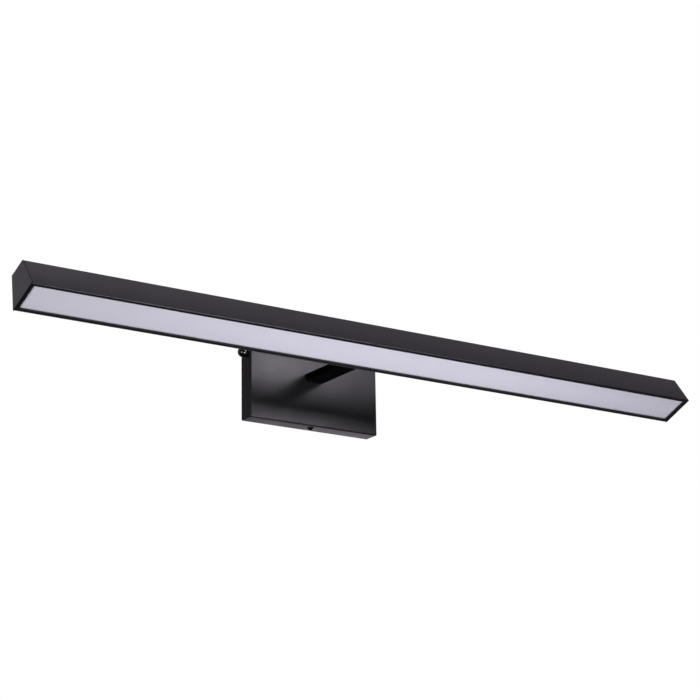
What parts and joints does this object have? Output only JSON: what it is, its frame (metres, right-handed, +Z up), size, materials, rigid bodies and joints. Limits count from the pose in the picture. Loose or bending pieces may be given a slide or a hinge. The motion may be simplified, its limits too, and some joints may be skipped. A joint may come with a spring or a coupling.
{
  "type": "vanity light bar",
  "caption": "Long LED wall light for over a mirror: a trapezoidal black bar with an opal diffuser, tilting on a flat arm from a shallow rectangular canopy.",
  "frame": {"origin": "middle of the wall bracket's back face, on the wall plane and at the canopy's centre", "axes": "+X along the bar, +Y into the wall, +Z up; the light faces -Y"},
  "size_m": [0.9144, 0.1878, 0.1242],
  "materials": {
    "black_coat": "satin black powder coat",
    "black_gloss": "gloss black",
    "black_plastic": "matt black moulding",
    "opal": "satin opal acrylic",
    "zinc_steel": "zinc plated",
    "mill_aluminium": "mill finish",
    "white_plastic": "moulded",
    "white_board": "white solder mask",
    "grey_tape": "soft thermal tape",
    "black_rubber": "moulded rubber",
    "black_pvc": "extruded sheath",
    "white_pvc": "extruded insulation",
    "red_pvc": "extruded insulation",
    "green_pvc": "extruded insulation",
    "green_screw": "green dyed zinc"
  },
  "bodies": {
    "canopy": {"arm_cable": "black_pvc", "arm_flange": "zinc_steel", "arm_grommet": "black_rubber", "arm_tube": "black_coat", "canopy_screw_bottom": "black_gloss", "canopy_screw_top": "black_gloss", "canopy_shell": "black_coat", "dimmer_body": "black_plastic", "dimmer_nut": "zinc_steel", "flange_nut_1": "zinc_steel", "flange_nut_2": "zinc_steel", "flange_nut_3": "zinc_steel", "flange_nut_4": "zinc_steel", "friction_washer_left": "zinc_steel", "friction_washer_right": "zinc_steel", "ground_lead": "green_pvc", "ground_ring_terminal": "zinc_steel", "ground_screw": "green_screw", "live_lead": "black_pvc", "mounting_bracket": "zinc_steel", "neutral_lead": "white_pvc", "pivot_block": "black_coat", "pivot_screw_left": "black_gloss", "pivot_screw_right": "black_gloss", "switched_lead": "red_pvc", "terminal_block": "white_plastic"},
    "head": {"board_connector_1": "white_plastic", "board_connector_2": "white_plastic", "cable_grommet": "black_rubber", "diffuser": "opal", "diffuser_frame": "black_plastic", "driver_screw_1": "zinc_steel", "driver_screw_2": "zinc_steel", "end_cap_left": "black_coat", "end_cap_right": "black_coat", "end_cap_screw_left": "zinc_steel", "end_cap_screw_right": "zinc_steel", "gear_tray": "mill_aluminium", "head_cable": "black_pvc", "housing": "black_coat", "led_board_1": "white_board", "led_board_2": "white_board", "led_board_3": "white_board", "led_driver": "white_plastic", "output_lead_negative": "black_pvc", "output_lead_positive": "red_pvc", "thermal_tape_1": "grey_tape", "thermal_tape_2": "grey_tape", "thermal_tape_3": "grey_tape", "tilt_bracket": "black_coat", "tilt_bracket_screw_left": "black_gloss", "tilt_bracket_screw_right": "black_gloss", "tilt_nut_plate": "zinc_steel", "tray_screw_1": "zinc_steel", "tray_screw_2": "zinc_steel", "tray_screw_3": "zinc_steel", "tray_screw_4": "zinc_steel"},
    "knob": {"dimmer_knob": "black_gloss", "dimmer_shaft": "zinc_steel"}
  },
  "joints": [
    {"name": "head_tilt", "type": "hinge", "parent": "canopy", "child": "head", "pos_m": [0, -0.1321, 0], "axis": [-1, 0, 0], "range_deg": [-22.3, 67.7]},
    {"name": "dimmer_turn", "type": "hinge", "parent": "canopy", "child": "knob", "pos_m": [-0.0907, -0.0106, 0.0223], "axis": [-1, 0, 0], "range_deg": [0, 300]}
  ]
}
